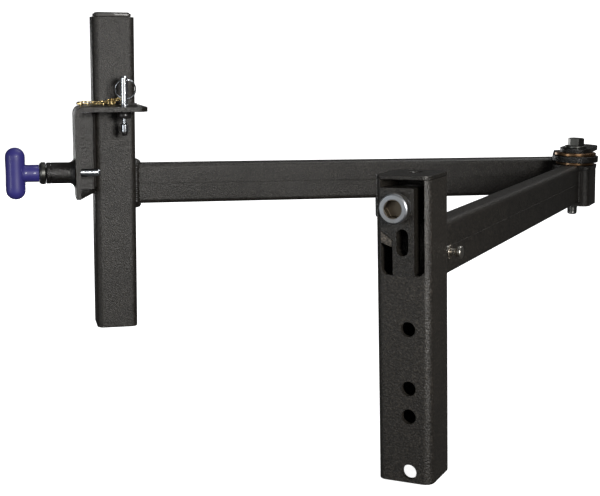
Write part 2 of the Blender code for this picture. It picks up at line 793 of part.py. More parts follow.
def plunger():
    """The spring-loaded pin with its seat, stop collar and T-handle."""
    radius = PLUNGER_PIN / 2
    nose = 2.5
    profile = [
        (0, -PIN_END),
        (radius, -PIN_END),
        (radius, -PLUNGER_TIP + nose),
        (radius - 1.6, -PLUNGER_TIP),
        (0, -PLUNGER_TIP),
    ]
    turned("plunger_pin", profile, ZINC, PLUNGER, (0, 0, 0), "-X")
    bore = radius + GAP
    seat_span = (-SEAT_X, -SEAT_X + SEAT_THICK)
    washer("spring_seat", SEAT / 2, bore, *seat_span, ZINC, PLUNGER, (0, 0, 0), "-X")
    collar = [
        (COLLAR / 2 - 2.0, -COLLAR_X[1]),
        (COLLAR / 2, -COLLAR_X[1] - 2.5),
        (COLLAR / 2, -COLLAR_X[0] + 1.0),
        (COLLAR / 2 - 1.0, -COLLAR_X[0]),
        (bore, -COLLAR_X[0]),
        (bore, -COLLAR_X[1]),
    ]
    turned("plunger_collar", collar, ZINC, PLUNGER, (0, 0, 0), "-X", steps=28)
    stem = [
        (STEM / 2 - 0.8, -STEM_X[1]),
        (STEM / 2 - 0.8, -STEM_X[0] + 4.0),
        (STEM / 2, -STEM_X[0] + 1.0),
        (STEM / 2, -STEM_X[0]),
        (bore, -STEM_X[0]),
        (bore, -STEM_X[1]),
    ]
    turned("handle_stem", stem, GRIP, PLUNGER, (0, 0, 0), "-X", steps=28)
    half, round_radius = HANDLE_LENGTH / 2, HANDLE / 2
    arc_steps = 5
    ends = []
    for step in range(arc_steps + 1):
        angle = math.pi / 2 * step / arc_steps
        ends.append((round_radius * math.sin(angle), half - round_radius * (1 - math.cos(angle))))
    grip = ends + [(reach, -height) for reach, height in reversed(ends)]
    place = (STEM_X[1] - GAP - round_radius, 0, 0)
    turned("t_handle", grip, GRIP, PLUNGER, place, "Z")


def lock_pin():
    """The pin that drops through the flange into the post's top plate, and its split ring."""
    radius = LOCK_SHANK / 2
    below, neck, tip_top = 4.6, 2.6, 72.6
    profile = [
        (0, LOCK_TOP),
        (radius * 0.6, LOCK_TOP - 0.4),
        (radius * 0.9, LOCK_TOP - 1.6),
        (radius, LOCK_TOP - 3.4),
        (radius, FLANGE_TOP + 1.5),
        (radius + 1.2, FLANGE_TOP + 1.1),
        (radius + 1.2, FLANGE_TOP + GAP),
        (below, FLANGE_TOP + GAP),
        (below, 91.5),
        (neck, 89.8),
        (neck, 82.8),
        (below, 81.2),
        (below, tip_top),
        (0, tip_top),
    ]
    pin = turned("lock_pin", profile, ZINC, LOCK)
    cut(pin, rod("cut_ring_hole", RING_HOLE, -10, 10, ZINC, LOCK, (0, 0, LOCK_HOLE_Z), "X", steps=16))
    tip = [(0, tip_top - GAP), (4.0, tip_top - GAP), (4.0, 70.2), (2.8, 67.8), (0, 67.4)]
    turned("lock_pin_tip", tip, BLACK, LOCK, steps=20)

    bpy.ops.mesh.primitive_torus_add(
        major_radius=RING_MEAN * MM, minor_radius=RING_WIRE / 2 * MM, major_segments=32, minor_segments=8
    )
    ring = bpy.context.object
    ring.name = "lock_ring"
    for collection in list(ring.users_collection):
        collection.objects.unlink(ring)
    PARTS.objects.link(ring)
    sway = math.radians(RING_SWAY)
    middle = (RING_MEAN * math.sin(sway), 0, -RING_MEAN * math.cos(sway) + RING_LIFT)
    finish(ring, ZINC, RING, middle, (90, 0, 0))


def lock_pin_chain():
    """A short chain on the flange from its anchor to the ring, as a plain tube."""
    data = bpy.data.curves.new("lock_pin_chain", "CURVE")
    data.dimensions = "3D"
    data.bevel_depth = CHAIN_WIDTH / 2 * MM
    data.bevel_resolution = 1
    data.use_fill_caps = True
    spline = data.splines.new("POLY")
    spline.points.add(len(CHAIN_ROUTE) - 1)
    for point, spot in zip(spline.points, CHAIN_ROUTE):
        x, y, above = spot
        point.co = (x * MM, y * MM, (FLANGE_TOP + above) * MM, 1)
    made = bpy.data.objects.new("lock_pin_chain", data)
    PARTS.objects.link(made)
    finish(made, BRASS, SWING, (0, 0, 0), (0, 0, 0))
    anchor = [(0, 4.0), (2.6, 4.0), (4.2, 2.6), (4.2, GAP), (0, GAP)]
    turned("chain_anchor", anchor, ZINC, SWING, (-653.0, 21.5, FLANGE_TOP), "Z", steps=16)


def main():
    hitch_post()
    post_top_plate()
    striker_block()
    striker_ramp()
    clamp_bolt()
    clamp_nut_block()
    base_arm()
    lanyard_stud()
    knuckle()
    pivot_stack()
    swing_arm()
    hinge_plate()
    mast()
    latch_bracket()
    bracket_braces()
    plunger_housing()
    plunger_spring()
    plunger()
    lock_pin()
    lock_pin_chain()


main()
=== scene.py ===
"""Looks of the hitch carrier's swing arm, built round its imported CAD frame. Metres, +Z up.

Places on the swinging parts are given in millimetres in the hinge's own frame, with the arm as if
closed: X along the arm from the pivot, Z along the pivot bolt.
"""

import math

import bmesh
import bpy
from mathutils import Matrix, Vector, noise


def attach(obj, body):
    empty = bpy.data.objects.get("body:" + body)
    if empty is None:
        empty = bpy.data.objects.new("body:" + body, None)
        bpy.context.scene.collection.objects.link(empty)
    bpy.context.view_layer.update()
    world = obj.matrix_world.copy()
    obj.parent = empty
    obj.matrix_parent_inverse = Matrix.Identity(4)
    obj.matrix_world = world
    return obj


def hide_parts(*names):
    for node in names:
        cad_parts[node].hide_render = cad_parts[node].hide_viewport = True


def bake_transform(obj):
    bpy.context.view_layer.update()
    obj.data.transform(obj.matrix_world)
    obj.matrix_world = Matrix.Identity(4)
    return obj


MM = 0.001

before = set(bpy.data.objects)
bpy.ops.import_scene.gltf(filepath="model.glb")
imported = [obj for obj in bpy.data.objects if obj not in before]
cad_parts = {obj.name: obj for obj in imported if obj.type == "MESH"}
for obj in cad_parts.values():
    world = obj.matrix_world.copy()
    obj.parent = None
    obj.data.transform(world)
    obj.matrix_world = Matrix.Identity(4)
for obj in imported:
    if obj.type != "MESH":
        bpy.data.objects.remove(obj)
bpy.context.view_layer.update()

# The CAD's own frames and sizes, in millimetres but for PIVOT
PIVOT = Matrix.Translation((0.610, 0.0254, 0.126))
HINGE = PIVOT @ Matrix.Rotation(math.radians(2.5), 4, "X")
SWING = HINGE @ Matrix.Rotation(math.radians(-49.08), 4, "Z")
ARM_LENGTH = 610.0
HALF_BOX = 25.4  # half the side of the square tubes
HALF_ARM = 12.7  # half the depth of both arms
SWING_OFFSET = 58.0
SWING_RISE = 3.0  # how far above the pivot the swing arm's middle runs
MAST_FRONT = SWING_OFFSET - HALF_BOX
FLANGE_TOP = 103.7
PLATE_THICK = 5.7
PLUNGER_Z = 24.0
SPRING_ENDS = (-672.6, -685.9)  # at its seat, and at the gland
HANDLE_X = -731.3
LOCK = (-601.4, 3.0)
LOCK_HOLE_RADIUS = 5.15
RING_HOLE_Z = 134.0
RING_LEAN = math.radians(17)
RING_SWAY = math.radians(9)
CLAMP_FACE = (-ARM_LENGTH - HALF_BOX - 2.0, 3.0, 48.0)


# ---------------------------------------------------------------- materials


class Nodes:
    """A small helper that builds one material's node tree."""

    def __init__(self, name):
        self.material = bpy.data.materials.new(name)
        self.material.use_nodes = True
        self.tree = self.material.node_tree
        self.shader = self.tree.nodes["Principled BSDF"]
        self.space = self.new("TexCoord").outputs["Object"]

    def new(self, kind, **settings):
        node = self.tree.nodes.new("ShaderNode" + kind)
        for key, value in settings.items():
            setattr(node, key, value)
        return node

    def link(self, output, target):
        self.tree.links.new(output, target)

    def noise(self, scale, detail=3.0, roughness=0.5, stretch=None):
        made = self.new("TexNoise")
        made.inputs["Scale"].default_value = scale
        made.inputs["Detail"].default_value = detail
        made.inputs["Roughness"].default_value = roughness
        source = self.space
        if stretch:
            mapping = self.new("Mapping")
            mapping.inputs["Scale"].default_value = stretch
            self.link(source, mapping.inputs["Vector"])
            source = mapping.outputs["Vector"]
        self.link(source, made.inputs["Vector"])
        return made.outputs["Fac"]

    def ramp(self, value, stops):
        made = self.new("ValToRGB")
        band = made.color_ramp
        while len(band.elements) < len(stops):
            band.elements.new(0.5)
        for element, (spot, color) in zip(band.elements, stops):
            element.position = spot
            element.color = (*color, 1.0) if isinstance(color, tuple) else (color, color, color, 1.0)
        self.link(value, made.inputs["Fac"])
        return made.outputs["Color"]

    def spread(self, value, low, high):
        made = self.new("MapRange")
        made.inputs["To Min"].default_value = low
        made.inputs["To Max"].default_value = high
        self.link(value, made.inputs["Value"])
        return made.outputs["Result"]

    def reach(self, axis_point, across, near, far):
        """0 within near of the axis through axis_point, and 1 past far. across is 0 along the axis."""
        offset = self.new("VectorMath", operation="SUBTRACT")
        offset.inputs[1].default_value = axis_point
        flat = self.new("VectorMath", operation="MULTIPLY")
        flat.inputs[1].default_value = across
        length = self.new("VectorMath", operation="LENGTH")
        band = self.new("MapRange")
        band.inputs["From Min"].default_value = near
        band.inputs["From Max"].default_value = far
        self.link(self.space, offset.inputs[0])
        self.link(offset.outputs["Vector"], flat.inputs[0])
        self.link(flat.outputs["Vector"], length.inputs[0])
        self.link(length.outputs["Value"], band.inputs["Value"])
        return band.outputs["Result"]

    def mix(self, amount, first, second):
        made = self.new("Mix", data_type="RGBA")
        self.link(amount, made.inputs[0])
        for value, socket in ((first, made.inputs[6]), (second, made.inputs[7])):
            if isinstance(value, tuple):
                socket.default_value = (*value, 1.0)
            else:
                self.link(value, socket)
        return made.outputs[2]

    def bump(self, height, strength, distance, previous=None):
        made = self.new("Bump")
        made.inputs["Strength"].default_value = strength
        made.inputs["Distance"].default_value = distance
        self.link(height, made.inputs["Height"])
        if previous:
            self.link(previous, made.inputs["Normal"])
        return made.outputs["Normal"]

    def set(self, **values):
        for key, value in values.items():
            socket = self.shader.inputs[key.replace("_", " ")]
            if isinstance(value, bpy.types.NodeSocket):
                self.link(value, socket)
            elif isinstance(value, tuple):
                socket.default_value = (*value, 1.0)
            else:
                socket.default_value = value
        return self.material


def powder_coat(name, tone, gloss=0.42, speckle=1.0):
    """Fine textured powder coat: pebbled bump, mottled grain, paler where it is rubbed."""
    n = Nodes(name)
    mottle = n.noise(38.0, 5.0, 0.6)
    grain = n.noise(520.0, 3.0, 0.65)
    pebble = n.noise(760.0, 2.0, 0.6)
    rubbed = n.noise(70.0, 6.0, 0.7)
    dark = tuple(value * 0.36 for value in tone)
    pale = tuple(value * 2.4 * speckle for value in tone)
    base = n.mix(n.ramp(grain, [(0.36, 0.0), (0.52, 1.0)]), dark, tone)
    base = n.mix(n.ramp(grain, [(0.53, 0.0), (0.66, 1.0)]), base, pale)
    base = n.mix(n.ramp(mottle, [(0.40, 0.0), (0.70, 0.45)]), base, dark)
    base = n.mix(n.ramp(rubbed, [(0.68, 0.0), (0.80, 0.4)]), base, tuple(v * 2.4 for v in tone))
    normal = n.bump(pebble, 0.7, 0.0007)
    normal = n.bump(grain, 0.7, 0.0009, normal)
    rough = n.spread(mottle, gloss - 0.08, gloss + 0.10)
    return n.set(Base_Color=base, Roughness=rough, Normal=normal, Specular_IOR_Level=0.5)


def plated(name, tone, roughness, streaks=(1.0, 1.0, 1.0), tint=None, wear=0.25, core=None, metallic=1.0):
    """Plated or turned metal with fine marks and a faint cloudy tint.

    core is a tone of painted shade inside a reach from an axis along X: (tone, point on the axis, near, far).
    """
    n = Nodes(name)
    cloud = n.noise(55.0, 5.0, 0.6)
    marks = n.noise(900.0, 2.0, 0.5, streaks)
    dull = n.noise(160.0, 4.0, 0.65)
    other = tint or tuple(value * 0.8 for value in tone)
    base = n.mix(n.ramp(cloud, [(0.35, 0.0), (0.68, 1.0)]), tone, other)
    base = n.mix(n.ramp(dull, [(0.55, 0.0), (0.8, wear)]), base, tuple(v * 0.35 for v in tone))
    # painted shade: within near of the axis the base colour gives way to the core tone
    if core:
        painted_shade_tone, axis_point, near, far = core
        base = n.mix(n.reach(axis_point, (0.0, 1.0, 1.0), near, far), painted_shade_tone, base)
    normal = n.bump(marks, 0.12, 0.0002)
    rough = n.spread(dull, roughness - 0.07, roughness + 0.13)
    return n.set(Base_Color=base, Roughness=rough, Normal=normal, Metallic=metallic)


def moulded(name, tone, roughness, pale=None):
    """Moulded plastic with a very fine grain and a faint cloudiness."""
    n = Nodes(name)
    cloud = n.noise(35.0, 4.0)
    grain = n.noise(1500.0, 2.0)
    scuff = n.noise(120.0, 6.0, 0.7)
    base = n.mix(n.ramp(cloud, [(0.3, 0.0), (0.75, 1.0)]), tone, pale or tuple(v * 1.25 for v in tone))
    normal = n.bump(grain, 0.10, 0.0002)
    rough = n.spread(scuff, roughness - 0.06, roughness + 0.12)
    return n.set(Base_Color=base, Roughness=rough, Normal=normal, Coat_Weight=0.15)


TUBE = powder_coat("powder_tube", (0.0175, 0.0152, 0.0124), 0.40)
PLATE = powder_coat("powder_plate", (0.0120, 0.0105, 0.0085), 0.34)
GLOSSY = powder_coat("powder_glossy", (0.0075, 0.0068, 0.0060), 0.25, 0.6)
WORN = powder_coat("powder_worn", (0.060, 0.052, 0.043), 0.34)
WELD = plated("weld_bead_coat", (0.013, 0.0112, 0.0092), 0.38, wear=0.1, metallic=0.0)
ZINC = plated("zinc_plate", (0.52, 0.54, 0.57), 0.24, tint=(0.42, 0.41, 0.38))
ZINC_TURNED = plated("zinc_turned", (0.60, 0.63, 0.67), 0.18, streaks=(0.2, 1.0, 1.0))
ZINC_DULL = plated("zinc_dull", (0.50, 0.49, 0.46), 0.30, tint=(0.36, 0.33, 0.27))
ZINC_DARK = plated("zinc_dark", (0.15, 0.15, 0.14), 0.34, tint=(0.08, 0.08, 0.075))
ZINC_WARM = plated("zinc_warm", (0.40, 0.36, 0.31), 0.32, tint=(0.30, 0.25, 0.19))
BRONZE = plated("bearing_bronze", (0.34, 0.19, 0.09), 0.26, tint=(0.12, 0.08, 0.05))
BRASS = plated("yellow_zinc", (0.72, 0.58, 0.30), 0.24, tint=(0.55, 0.40, 0.18))
GRIP = moulded("grip_violet", (0.024, 0.020, 0.150), 0.46, (0.034, 0.030, 0.200))
BLACK = moulded("black_moulding", (0.012, 0.011, 0.011), 0.28)
CAP = moulded("cap_moulding", (0.040, 0.037, 0.034), 0.55)
SPRING_STEEL = plated("spring_steel", (0.50, 0.50, 0.50), 0.30)

# The clamp head is painted dark brown within 8 mm of its axis: painted shade in its socket recess.
CLAMP_ZINC = plated(
    "clamp_head_zinc",
    (0.40, 0.42, 0.45),
    0.34,
    tint=(0.33, 0.33, 0.32),
    core=((0.105, 0.088, 0.066), PIVOT @ (Vector(CLAMP_FACE) * MM), 0.0080, 0.0088),
)

LOOKS = {
    "hitch_post": TUBE,
    "base_arm": TUBE,
    "swing_arm": TUBE,
    "mast": TUBE,
    "hinge_knuckle": TUBE,
    "post_top_plate": PLATE,
    "striker_block": PLATE,
    "striker_ramp": WORN,
    "knuckle_top_plate": PLATE,
    "knuckle_bottom_plate": PLATE,
    "keeper_plate": GLOSSY,
    "hinge_plate": GLOSSY,
    "latch_bracket": PLATE,
    "bracket_web": PLATE,
    "bracket_shelf": PLATE,
    "plunger_housing": GLOSSY,
    "housing_gland": GLOSSY,
    "clamp_nut_block": PLATE,
    "clamp_bolt": CLAMP_ZINC,
    "clamp_washer": ZINC,
    "lanyard_stud": ZINC_DULL,
    "lanyard_stud_washer": ZINC_WARM,
    "pivot_bolt": ZINC_DARK,
    "pivot_washer": ZINC_DARK,
    "pivot_nut": ZINC_DULL,
    "plunger_pin": ZINC_TURNED,
    "plunger_spring": SPRING_STEEL,
    "spring_seat": ZINC,
    "plunger_collar": ZINC_DARK,
    "handle_stem": GRIP,
    "t_handle": GRIP,
    "lock_pin": ZINC_TURNED,
    "lock_pin_tip": BLACK,
    "lock_ring": ZINC,
    "bearing_sleeve": BRONZE,
    "lower_thrust_washer": BRONZE,
    "pivot_bushing": BRONZE,
    "upper_thrust_washer": BRONZE,
    "lock_pin_chain": BRASS,
    "chain_anchor": BRASS,
    "swing_arm_end_cap": BLACK,
    "mast_cap": CAP,
}

BEVELS = {
    "hitch_post": 0.9,
    "base_arm": 0.6,
    "swing_arm": 0.6,
    "mast": 0.9,
    "hinge_knuckle": 0.6,
    "post_top_plate": 0.8,
    "striker_block": 0.8,
    "latch_bracket": 0.8,
    "bracket_web": 0.8,
    "bracket_shelf": 0.8,
    "keeper_plate": 0.7,
    "hinge_plate": 0.8,
    "mast_cap": 0.8,
    "t_handle": 0.0,
    "plunger_spring": 0.0,
    "lock_ring": 0.0,
    "lock_pin_chain": 0.0,
}


def dress(node, look, width):
    """Cleans the mesh by modifiers only, softens its edges and gives it its material."""
    data = node.data
    data.materials.clear()
    data.materials.append(look)
    for face in data.polygons:
        face.use_smooth = True
    weld = node.modifiers.new("weld", "WELD")
    weld.merge_threshold = 0.00001
    flat = node.modifiers.new("flat", "DECIMATE")
    flat.decimate_type = "DISSOLVE"
    flat.angle_limit = math.radians(1.0)
    if width:
        bevel = node.modifiers.new("edge", "BEVEL")
        bevel.width = width * MM
        bevel.segments = 2
        bevel.limit_method = "ANGLE"
        bevel.angle_limit = math.radians(32)
        bevel.harden_normals = False
    even = node.modifiers.new("shade", "WEIGHTED_NORMAL")
    even.mode = "FACE_AREA"
    even.weight = 60
    even.keep_sharp = False


for name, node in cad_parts.items():
    dress(node, LOOKS[name], BEVELS.get(name, 0.35))


# ---------------------------------------------------------------- mesh helpers


def mesh_of(shape, name):
    mesh = bpy.data.meshes.new(name)
    shape.to_mesh(mesh)
    shape.free()
    return mesh


def closed_mesh(shape, name):
    """The mesh of a shape built face by face, with its faces turned outwards."""
    bmesh.ops.recalc_face_normals(shape, faces=shape.faces)
    return mesh_of(shape, name)


def add(name, mesh, place=None, look=None, smooth=True):
    """An object whose mesh is moved to its place, so that the object itself stays at the origin."""
    made = bpy.data.objects.new(name, mesh)
    bpy.context.scene.collection.objects.link(made)
    if place:
        mesh.transform(place)
    if look:
        mesh.materials.append(look)
    for face in mesh.polygons:
        face.use_smooth = smooth
    return made


def piece(name, mesh, look, body, place, smooth=True):
    """A visible piece that rides on one body."""
    made = add(name, mesh, place, look, smooth)
    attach(made, body)
    return made


def bent_piece(name, mesh, look, replaced):
    """A visible piece of the swinging part, fixed in its closed place; the CAD part it replaces is hidden."""
    made = add(name, mesh, SWING, look)
    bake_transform(made)
    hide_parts(replaced)


def on_x(place, spot):
    """A frame at a spot in millimetres whose Z runs along the place's -X."""
    return place @ Matrix.Translation(Vector(spot) * MM) @ Matrix.Rotation(math.radians(-90), 4, "Y")


def swept(points, radii, sides=8, closed=False, name="sweep"):
    """A round section swept along points in metres. radii is one number or one for each point."""
    shape = bmesh.new()
    count = len(points)
    if isinstance(radii, (int, float)):
        radii = [radii] * count
    rings = []
    up = Vector((0.123, 0.456, 0.881)).normalized()  # along none of the routes
    side = None
    for index, point in enumerate(points):
        before = points[index - 1] if index or closed else points[index]
        after = points[(index + 1) % count] if index < count - 1 or closed else points[index]
        along = (after - before).normalized()
        if side is None:
            side = along.cross(up).normalized()
        side = (side - along * side.dot(along)).normalized()
        other = along.cross(side)
        ring = []
        for step in range(sides):
            turn = 2 * math.pi * step / sides
            offset = (side * math.cos(turn) + other * math.sin(turn)) * radii[index]
            ring.append(shape.verts.new(point + offset))
        rings.append(ring)
    pairs = list(zip(rings, rings[1:]))
    if closed:
        first, last = rings[0], rings[-1]
        shift = min(range(sides), key=lambda k: (last[0].co - first[k].co).length)
        pairs.append((last, first[shift:] + first[:shift]))
    for low, high in pairs:
        for step in range(sides):
            following = (step + 1) % sides
            shape.faces.new((low[step], low[following], high[following], high[step]))
    if not closed:
        shape.faces.new(list(reversed(rings[0])))
        shape.faces.new(rings[-1])
    return closed_mesh(shape, name)


def turned(profile, steps=32, name="turned"):
    """A solid of revolution about Z from (radius, height) in millimetres, closed on the axis or as a ring."""
    shape = bmesh.new()
    rows = []
    for radius, height in profile:
        if radius == 0:
            rows.append([shape.verts.new((0, 0, height * MM))])
            continue
        row = []
        for step in range(steps):
            turn = 2 * math.pi * step / steps
            spot = (radius * math.cos(turn) * MM, radius * math.sin(turn) * MM, height * MM)
            row.append(shape.verts.new(spot))
        rows.append(row)
    pairs = list(zip(rows, rows[1:]))
    if profile[0][0] and profile[-1][0]:
        pairs.append((rows[-1], rows[0]))
    for low, high in pairs:
        for step in range(steps):
            following = (step + 1) % steps
            corners = [low[step % len(low)], low[following % len(low)]]
            corners += [high[following % len(high)], high[step % len(high)]]
            unique = list(dict.fromkeys(corners))
            if len(unique) > 2:
                shape.faces.new(unique)
    return closed_mesh(shape, name)


def bead(name, route, radius, body, place, closed=False):
    """A weld bead along a route in millimetres: overlapping ripples on a half-sunk cord."""
    lumps, pitch, step = 0.32, 2.6, 0.65
    corners = [Vector(spot) for spot in route]
    if closed:
        corners.append(corners[0])
    points, radii = [], []
    travelled = 0.0
    for start, end in zip(corners, corners[1:]):
        length = (end - start).length
        count = max(int(length / step), 2)
        for index in range(count):
            share = index / count
            spot = start.lerp(end, share)
            here = travelled + share * length
            ripple = abs(math.sin(math.pi * here / pitch))
            sway = noise.noise(spot * 0.21 + Vector((7.1, 3.3, here * 0.05)))
            points.append(spot * MM)
            radii.append(radius * (1 - lumps * 0.5 + lumps * ripple * 0.6 + 0.22 * sway) * MM)
        travelled += length
    piece(name, swept(points, radii, 8, closed, name), WELD, body, place)


# ---------------------------------------------------------------- welds


def arm_outline(x, y, low, high, cut, rise=0.0):
    """An arm's outline at x, with its corners cut off by cut and its ends moved out by rise."""
    front, back = y - HALF_ARM, y + HALF_ARM
    inner = 4.0
    return [
        (x, front + inner, low - rise),
        (x, front, low + cut),
        (x, front, high - cut),
        (x, front + inner, high + rise),
        (x, back - inner, high + rise),
        (x, back, high - cut),
        (x, back, low + cut),
        (x, back - inner, low - rise),
    ]


def welds():
    """The beads where the arms and the latch bracket meet the square tubes."""
    post_rear = -ARM_LENGTH + HALF_BOX
    route = arm_outline(post_rear, 0.0, -HALF_BOX, HALF_BOX, 3.9)
    bead("weld_post_arm", route, 2.4, "base", PIVOT, closed=True)

    knuckle, top, foot = -HALF_BOX, 19.5, -24.0
    front = [(knuckle, -HALF_ARM, foot), (knuckle, -HALF_ARM, top - 2.5), (knuckle, -HALF_ARM + 3, top)]
    route = front + [(x, -y, z) for x, y, z in reversed(front)]
    bead("weld_knuckle_arm", route, 2.2, "base", PIVOT)

    mast = -ARM_LENGTH + HALF_BOX
    low, high = SWING_RISE - HALF_BOX, SWING_RISE + HALF_BOX
    route = arm_outline(mast + 1, SWING_OFFSET, low, high, 4.0, 1.0)
    bead("weld_mast_arm", route, 4.2, "swing", SWING, closed=True)
    for name, height in (("weld_mast_arm_top", high + 0.5), ("weld_mast_arm_foot", low - 0.5)):
        sides = (SWING_OFFSET - HALF_ARM + 3, SWING_OFFSET + HALF_ARM - 3)
        bead(name, [(mast + 3, side, height) for side in sides], 4.6, "swing", SWING)

    edge = -ARM_LENGTH - HALF_BOX - 0.3
    web = [(edge, MAST_FRONT + 1, 2.0), (edge, MAST_FRONT + 1, 92.0)]
    bead("weld_web_mast", web, 2.2, "swing", SWING)
    flange = [(-634.0, MAST_FRONT - 0.2, FLANGE_TOP), (-582.5, MAST_FRONT - 0.2, FLANGE_TOP)]
    bead("weld_flange_mast", flange, 2.0, "swing", SWING)
    shelf = [(edge - 0.1, 34.5, -5.0), (edge - 0.1, 56.0, -5.0)]
    bead("weld_shelf_mast", shelf, 1.9, "swing", SWING)


welds()

# ---------------------------------------------------------------- seams of the tubes


def seam(name, span, front, height, body, place):
    """The faint proud line that a tube's welded seam leaves under its coat."""
    count, width, sunk = 90, 0.55, 0.15
    start, end = (Vector((along, front + sunk, height)) for along in span)
    points = [start.lerp(end, share / count) for share in range(count + 1)]
    radii = [width * (1 + 0.25 * noise.noise(point * 0.11)) * MM for point in points]
    mesh = swept([point * MM for point in points], radii, 6, False, name)
    piece(name, mesh, TUBE, body, place)


seam("seam_base_arm", (-583, -27), -HALF_ARM, 1.0, "base", PIVOT)
seam("seam_swing_arm", (-583, 27), SWING_OFFSET - HALF_ARM, 3.5, "swing", SWING)

# ---------------------------------------------------------------- crown of the mast's cap


def cap_crown():
    """The low rounded crown that stands on the mast's cap."""
    back = SWING.inverted()
    spots = [back @ vertex.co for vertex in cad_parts["mast_cap"].data.vertices]
    low = Vector([min(spot[axis] for spot in spots) for axis in range(3)])
    high = Vector([max(spot[axis] for spot in spots) for axis in range(3)])
    step_in, thick, sunk, corner, round_over = (value * MM for value in (2.0, 1.6, 0.2, 3.0, 1.0))
    size = high - low
    shape = bmesh.new()
    bmesh.ops.create_cube(shape, size=1.0)
    stretch = Matrix.Diagonal((size.x - 2 * step_in, size.y - 2 * step_in, thick, 1.0))
    middle = (low + high) / 2
    middle.z = high.z + thick / 2 - sunk
    bmesh.ops.transform(shape, matrix=Matrix.Translation(middle) @ stretch, verts=shape.verts)
    upright = [edge for edge in shape.edges if abs(edge.verts[0].co.z - edge.verts[1].co.z) > thick / 2]
    bmesh.ops.bevel(shape, geom=upright, offset=corner, segments=5, profile=0.5, affect="EDGES")
    crown = max(vertex.co.z for vertex in shape.verts)
    rim = [edge for edge in shape.edges if all(vertex.co.z > crown - thick / 2 for vertex in edge.verts)]
    bmesh.ops.bevel(shape, geom=rim, offset=round_over, segments=3, profile=0.5, affect="EDGES")
    piece("mast_cap_crown", mesh_of(shape, "mast_cap_crown"), BLACK, "swing", SWING)


cap_crown()

# ---------------------------------------------------------------- chain

CHAIN_ROUTE = [
    (-650.5, 21.6, 106.6),
    (-647.5, 22.0, 106.4),
    (-641.0, 23.0, 106.1),
    (-633.0, 21.5, 106.1),
    (-625.5, 23.0, 106.1),
    (-620.0, 22.0, 107.4),
    (-614.5, 22.5, 108.8),
    (-611.0, 18.0, 107.6),
    (-614.0, 13.0, 106.3),
    (-619.0, 13.5, 106.3),
    (-620.5, 18.0, 107.0),
    (-616.5, 19.5, 109.4),
    (-611.0, 14.0, 110.0),
    (-606.5, 9.0, 111.6),
    (-603.4, 6.5, 113.2),
]


def smooth_route(route, count):
    """Evenly spaced points on a Catmull-Rom curve through the route, and its length."""
    spots = [Vector(spot) for spot in route]
    spots = [spots[0] * 2 - spots[1]] + spots + [spots[-1] * 2 - spots[-2]]
    dense = []
    steps = 20
    for index in range(1, len(spots) - 2):
        a, b, c, d = spots[index - 1 : index + 3]
        for step in range(steps):
            t = step / steps
            square, cube = t * t, t**3
            bend = (2 * a - 5 * b + 4 * c - d) * square + (3 * b - a - 3 * c + d) * cube
            dense.append(0.5 * (2 * b + (c - a) * t + bend))
    dense.append(spots[-2])
    lengths = [0.0]
    for first, second in zip(dense, dense[1:]):
        lengths.append(lengths[-1] + (second - first).length)
    found, index = [], 0
    for step in range(count):
        wanted = lengths[-1] * step / (count - 1)
        while index < len(lengths) - 2 and lengths[index + 1] < wanted:
            index += 1
        span = lengths[index + 1] - lengths[index] or 1.0
        found.append(dense[index].lerp(dense[index + 1], (wanted - lengths[index]) / span))
    return found, lengths[-1]


def chain():
    """Wire links, each turned a quarter from the one before."""
    wire, half_long, half_wide, pitch = 0.72, 3.2, 2.1, 4.5
    steps, squareness = 18, 0.8
    _, length = smooth_route(CHAIN_ROUTE, 200)
    count = int(length / pitch)
    spots, _ = smooth_route(CHAIN_ROUTE, count + 1)
    shape = bmesh.new()
    for index in range(count):
        start, end = spots[index], spots[index + 1]
        along = (end - start).normalized()
        side = along.cross(Vector((0, 0, 1))).normalized()
        other = along.cross(side)
        quarter = math.radians(45 if index % 2 else -45)
        wide = side * math.cos(quarter) + other * math.sin(quarter)
        middle = (start + end) / 2
        loop = []
        for step in range(steps):
            turn = 2 * math.pi * step / steps
            reach = half_long * math.copysign(abs(math.cos(turn)) ** squareness, math.cos(turn))
            loop.append((middle + along * reach + wide * (half_wide * math.sin(turn))) * MM)
        link = swept(loop, wire * MM, 6, True)
        shape.from_mesh(link)
        bpy.data.meshes.remove(link)
    mesh = mesh_of(shape, "chain_links")
    bent_piece("chain_links", mesh, BRASS, "lock_pin_chain")


chain()

# ---------------------------------------------------------------- split ring


def split_ring():
    """A double coil of wire through the pin's cross hole, with the step where the coils part."""
    place = SWING @ Matrix.Translation(Vector((*LOCK, RING_HOLE_Z)) * MM)
    place = place @ Matrix.Rotation(RING_LEAN, 4, "X")
    mean, wire, lift = 12.3, 0.80, 0.9
    centre = Vector((mean * math.sin(RING_SWAY), 0, -mean * math.cos(RING_SWAY) + lift))
    half_gap, steepness, start = 0.76, 22, 2.2  # from one coil to the other, and where the wire starts
    points = []
    count = 120
    for step in range(count):
        turn = 4 * math.pi * step / (count - 1)
        share = step / (count - 1)
        offset = half_gap * math.tanh((share - 0.5) * steepness)
        spoke = Vector((math.sin(turn - start), 0, math.cos(turn - start))) * mean
        points.append((centre + spoke + Vector((0, offset, 0))) * MM)
    made = piece("split_ring", swept(points, wire * MM, 8), ZINC_TURNED, "ring", place)
    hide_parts("lock_ring")


split_ring()

# ---------------------------------------------------------------- black bush under the flange, its black also painted shade


def lock_bush_and_shade():
    """The black guide bush that the lock pin passes through under the flange. Its black also stands in for
    the shade that the flange casts round the pin: painted shade.
    """
    bore, outer, chamfer = LOCK_HOLE_RADIUS, 8.6, 0.8
    top, bottom = FLANGE_TOP - PLATE_THICK - 0.1, FLANGE_TOP - 15.0
    profile = [(bore, top), (outer, top), (outer, bottom + chamfer)]
    profile += [(outer - chamfer, bottom), (bore, bottom)]
    place = SWING @ Matrix.Translation(Vector((*LOCK, 0)) * MM)
    # painted shade: the bush's black fills the shade under the flange
    piece("lock_bush_and_shade", turned(profile, 36, "lock_bush_and_shade"), BLACK, "swing", place)


lock_bush_and_shade()

# ---------------------------------------------------------------- T-handle


